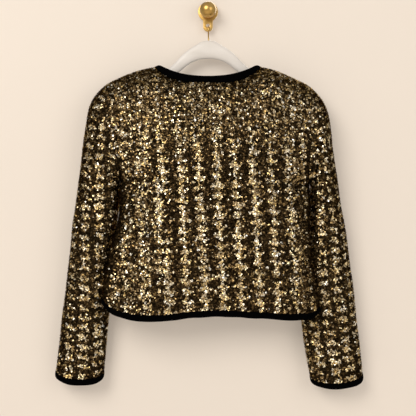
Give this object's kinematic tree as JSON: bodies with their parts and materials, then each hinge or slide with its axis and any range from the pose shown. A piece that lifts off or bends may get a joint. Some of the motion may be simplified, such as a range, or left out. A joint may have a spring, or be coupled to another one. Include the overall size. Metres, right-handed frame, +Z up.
{
  "type": "cropped jacket on hanger and wall hook",
  "caption": "Cropped collarless long-sleeved jacket in striped sequin cloth with black bindings, hanging back outwards on a hanger from a brass wall hook",
  "frame": {"origin": "on the wall, at the middle of the wall hook's rear face, behind the middle of its knob", "axes": "+Z up; +Y into the wall; the jacket's back faces -Y and its front faces the wall; left and right are as seen from behind the jacket"},
  "size_m": [0.6032, 0.1117, 0.7577],
  "materials": {
    "sequin_cloth": "gold and dark bronze sequins",
    "binding": "velvet",
    "hanger": "smooth off-white",
    "brass": "polished"
  },
  "bodies": {
    "root": {"back_centre": "sequin_cloth", "back_side_left": "sequin_cloth", "back_side_right": "sequin_cloth", "front_left": "sequin_cloth", "front_right": "sequin_cloth", "sleeve_left_upper": "sequin_cloth", "sleeve_left_lower": "sequin_cloth", "sleeve_right_upper": "sequin_cloth", "sleeve_right_lower": "sequin_cloth", "neck_binding": "binding", "hem_binding": "binding", "front_binding_left": "binding", "front_binding_right": "binding", "cuff_binding_left": "binding", "cuff_binding_right": "binding", "hanger_board": "hanger", "hanger_wire": "brass", "hook_plate": "brass", "hook_knob": "brass"}
  },
  "joints": []
}
